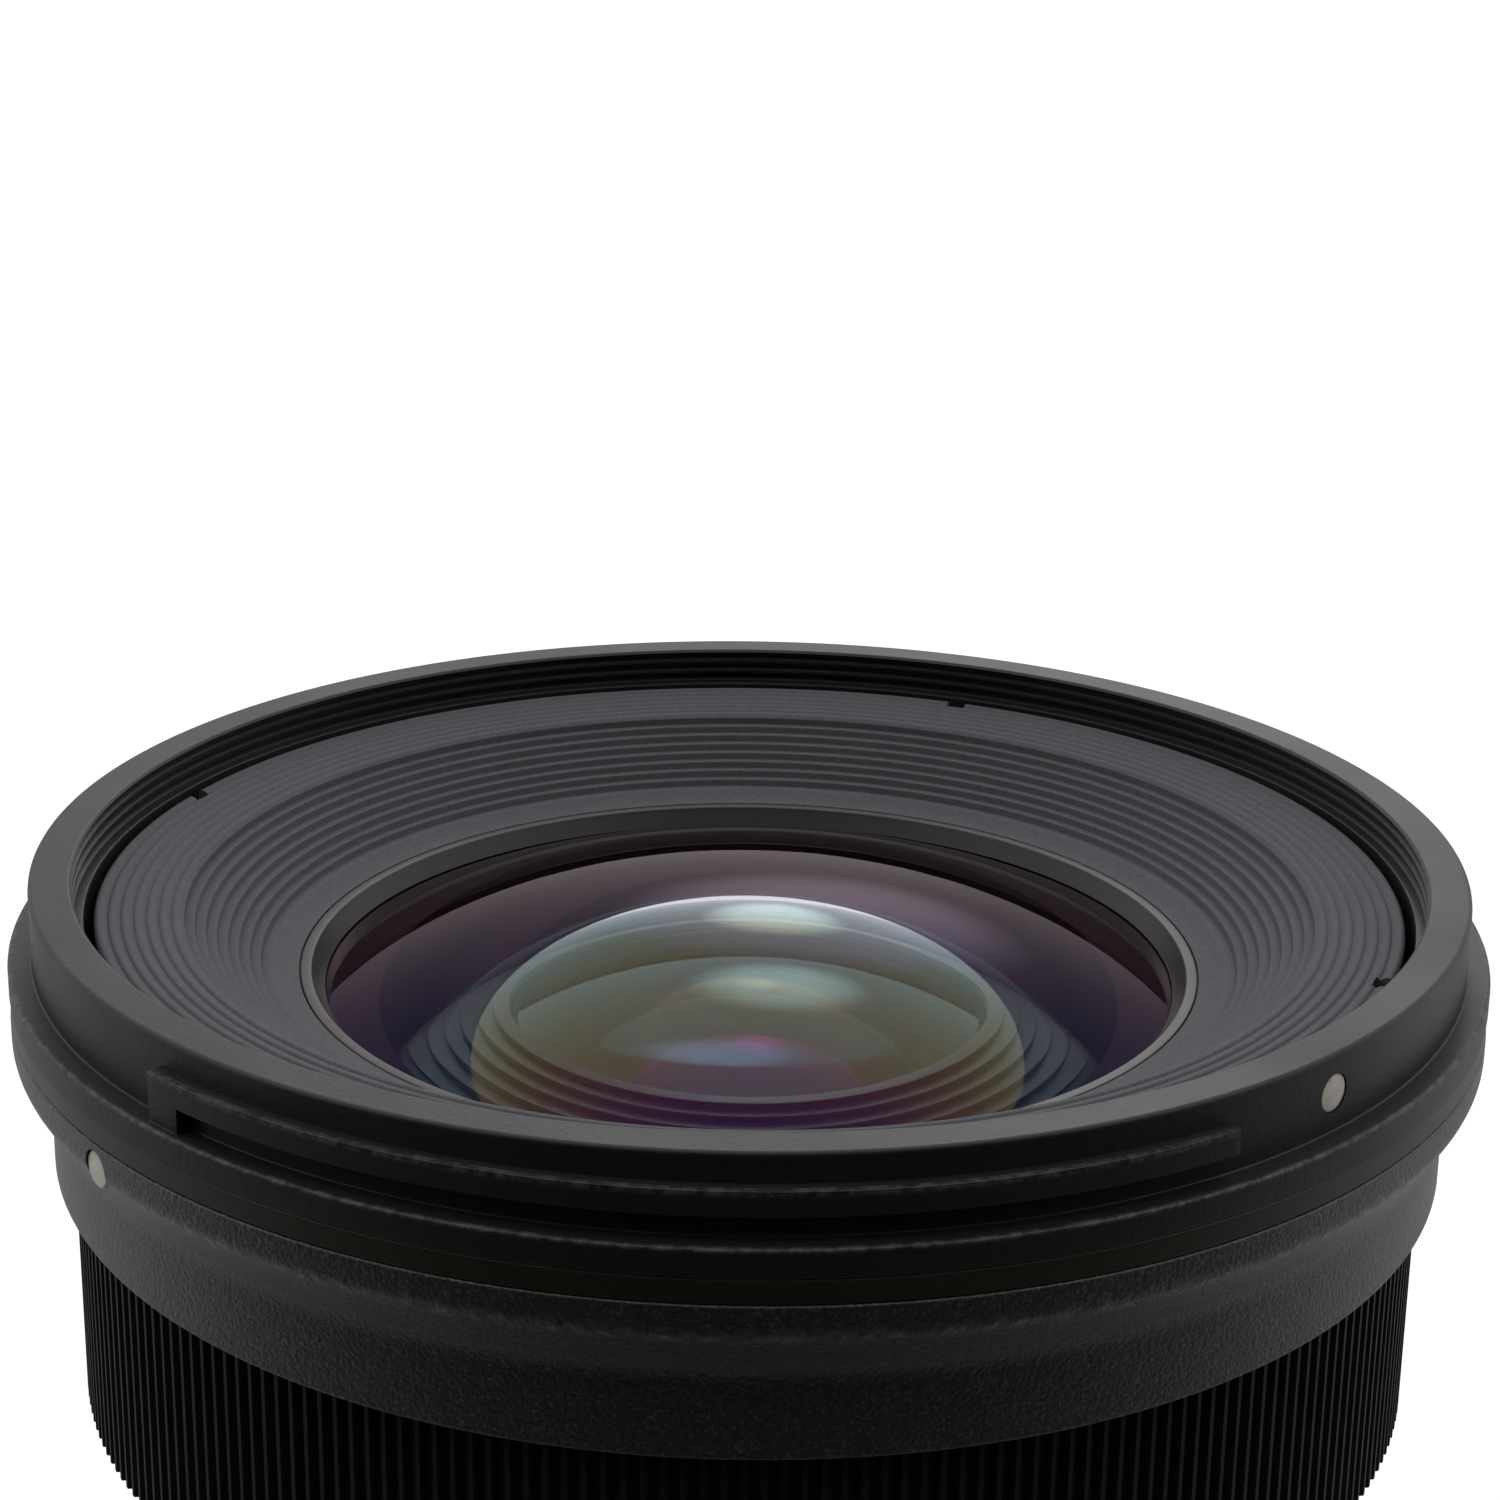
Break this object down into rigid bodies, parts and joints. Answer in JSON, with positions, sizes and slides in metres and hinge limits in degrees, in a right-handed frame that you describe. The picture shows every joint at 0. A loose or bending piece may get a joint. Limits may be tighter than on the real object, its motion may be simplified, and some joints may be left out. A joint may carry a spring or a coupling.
{
  "type": "wide-angle zoom lens",
  "caption": "Wide-angle zoom lens with ribbed rubber rings, a ridged front baffle round a bulging coated front element, a filter thread and a bayonet mount.",
  "frame": {"origin": "centre of the bayonet mount's bearing face, on the optical axis", "axes": "+Z along the optical axis to the front of the lens; -Y towards the picture's camera; the index marks on the cover and the mount are at -142 degrees from +X about +Z"},
  "size_m": [0.089, 0.089, 0.0964],
  "materials": {
    "black_anodised": "satin black anodising",
    "baffle_coating": "fine matte grey-black, moulded ridges",
    "olive_band": "satin dark olive brown paint",
    "speckled_shell": "black with a fine pebbled texture",
    "index_paint": "matte white paint",
    "ribbed_rubber": "matte black, fine upright ribs",
    "machined_aluminium": "dull black anodising over turning marks",
    "cell_plastic": "matte black, lightly grained",
    "retainer_metal": "dark brownish grey satin paint",
    "coated_glass": "polished, with purple and green coating glints",
    "window_pane": "clear, polished",
    "motor_steel": "ground",
    "blade_steel": "dull black",
    "fastener_steel": "plated",
    "follower_brass": "turned",
    "mount_chrome": "bright plated brass with fine turning marks",
    "contact_gold": "gold plated",
    "board_laminate": "green solder mask"
  },
  "bodies": {
    "root": {"filter_ring": "black_anodised", "trim_band": "olive_band", "front_cover": "speckled_shell", "index_dots": "index_paint", "main_barrel": "machined_aluminium", "guide_tube": "machined_aluminium", "motor_stator": "motor_steel", "motor_spring": "motor_steel", "motor_cover": "machined_aluminium", "window_barrel": "speckled_shell", "scale_window": "window_pane", "switch_plate": "speckled_shell", "rear_barrel": "speckled_shell", "rear_screws": "fastener_steel", "main_board": "board_laminate", "mount_plate": "mount_chrome", "mount_shim": "motor_steel", "rear_baffle": "cell_plastic", "contact_block": "cell_plastic", "contact_pins": "contact_gold"},
    "zoom_body": {"zoom_ring": "speckled_shell", "zoom_grip": "ribbed_rubber", "zoom_key": "fastener_steel", "cam_tube": "machined_aluminium"},
    "focus_body": {"focus_ring": "machined_aluminium", "focus_grip": "ribbed_rubber", "manual_ring": "machined_aluminium"},
    "drive_body": {"focus_cam_tube": "machined_aluminium", "drive_carrier": "machined_aluminium", "drive_rollers": "motor_steel", "distance_drum": "cell_plastic"},
    "rotor_body": {"motor_rotor": "motor_steel"},
    "front_group": {"front_cell": "cell_plastic", "front_followers": "follower_brass", "front_element": "coated_glass", "second_element": "coated_glass", "third_element": "coated_glass", "front_retainer": "retainer_metal", "light_trap": "cell_plastic", "front_baffle": "baffle_coating"},
    "middle_group": {"middle_cell": "cell_plastic", "middle_followers": "follower_brass", "fifth_element": "coated_glass", "sixth_element": "coated_glass", "iris_housing": "cell_plastic"},
    "rear_group": {"rear_cell": "cell_plastic", "rear_followers": "follower_brass", "seventh_element": "coated_glass", "rear_element": "coated_glass"},
    "focus_group": {"focus_cell": "cell_plastic", "focus_followers": "follower_brass", "focus_element": "coated_glass"},
    "iris_ring_body": {"iris_ring": "blade_steel"},
    "switch_body": {"switch_knob": "cell_plastic"},
    "iris_blade_1_body": {"iris_blade_1": "blade_steel"},
    "iris_blade_2_body": {"iris_blade_2": "blade_steel"},
    "iris_blade_3_body": {"iris_blade_3": "blade_steel"},
    "iris_blade_4_body": {"iris_blade_4": "blade_steel"},
    "iris_blade_5_body": {"iris_blade_5": "blade_steel"},
    "iris_blade_6_body": {"iris_blade_6": "blade_steel"}
  },
  "joints": [
    {"name": "zoom_turn", "type": "hinge", "parent": "root", "child": "zoom_body", "pos_m": [0, 0, 0], "axis": [0, 0, 1], "range_deg": [0, 70]},
    {"name": "focus_turn", "type": "hinge", "parent": "root", "child": "focus_body", "pos_m": [0, 0, 0], "axis": [0, 0, 1], "range_deg": [0, 90]},
    {"name": "drive_turn", "type": "hinge", "parent": "root", "child": "drive_body", "pos_m": [0, 0, 0], "axis": [0, 0, 1], "range_deg": [0, 45]},
    {"name": "rotor_turn", "type": "hinge", "parent": "root", "child": "rotor_body", "pos_m": [0, 0, 0], "axis": [0, 0, 1], "range_deg": [0, 90]},
    {"name": "front_group_slide", "type": "slide", "parent": "root", "child": "front_group", "axis": [0, 0, 1], "range_m": [-0.005, 0]},
    {"name": "middle_group_slide", "type": "slide", "parent": "root", "child": "middle_group", "axis": [0, 0, 1], "range_m": [0, 0.006]},
    {"name": "rear_group_slide", "type": "slide", "parent": "root", "child": "rear_group", "axis": [0, 0, 1], "range_m": [0, 0.009]},
    {"name": "focus_group_slide", "type": "slide", "parent": "root", "child": "focus_group", "axis": [0, 0, 1], "range_m": [-0.0025, 0]},
    {"name": "iris_turn", "type": "hinge", "parent": "middle_group", "child": "iris_ring_body", "pos_m": [0, 0, 0], "axis": [0, 0, 1], "range_deg": [0, 30]},
    {"name": "switch_slide", "type": "slide", "parent": "root", "child": "switch_body", "axis": [0, 0, 1], "range_m": [0, 0.0024]},
    {"name": "iris_blade_1_turn", "type": "hinge", "parent": "middle_group", "child": "iris_blade_1_body", "pos_m": [0.0194, 0, 0.0405], "axis": [0, 0, 1], "range_deg": [0, 26]},
    {"name": "iris_blade_2_turn", "type": "hinge", "parent": "middle_group", "child": "iris_blade_2_body", "pos_m": [0.0097, 0.0168, 0.0405], "axis": [0, 0, 1], "range_deg": [0, 26]},
    {"name": "iris_blade_3_turn", "type": "hinge", "parent": "middle_group", "child": "iris_blade_3_body", "pos_m": [-0.0097, 0.0168, 0.0405], "axis": [0, 0, 1], "range_deg": [0, 26]},
    {"name": "iris_blade_4_turn", "type": "hinge", "parent": "middle_group", "child": "iris_blade_4_body", "pos_m": [-0.0194, 0, 0.0405], "axis": [0, 0, 1], "range_deg": [0, 26]},
    {"name": "iris_blade_5_turn", "type": "hinge", "parent": "middle_group", "child": "iris_blade_5_body", "pos_m": [-0.0097, -0.0168, 0.0405], "axis": [0, 0, 1], "range_deg": [0, 26]},
    {"name": "iris_blade_6_turn", "type": "hinge", "parent": "middle_group", "child": "iris_blade_6_body", "pos_m": [0.0097, -0.0168, 0.0405], "axis": [0, 0, 1], "range_deg": [0, 26]}
  ],
  "couplings": [
    {"joint": "drive_turn", "follows": "focus_turn", "ratio": 0.5},
    {"joint": "front_group_slide", "follows": "zoom_turn", "m_per_rad": -0.0040926},
    {"joint": "middle_group_slide", "follows": "zoom_turn", "m_per_rad": 0.0049111},
    {"joint": "rear_group_slide", "follows": "zoom_turn", "m_per_rad": 0.0073666},
    {"joint": "focus_group_slide", "follows": "focus_turn", "m_per_rad": -0.0015915},
    {"joint": "iris_blade_1_turn", "follows": "iris_turn", "ratio": 0.86667},
    {"joint": "iris_blade_2_turn", "follows": "iris_turn", "ratio": 0.86667},
    {"joint": "iris_blade_3_turn", "follows": "iris_turn", "ratio": 0.86667},
    {"joint": "iris_blade_4_turn", "follows": "iris_turn", "ratio": 0.86667},
    {"joint": "iris_blade_5_turn", "follows": "iris_turn", "ratio": 0.86667},
    {"joint": "iris_blade_6_turn", "follows": "iris_turn", "ratio": 0.86667}
  ]
}
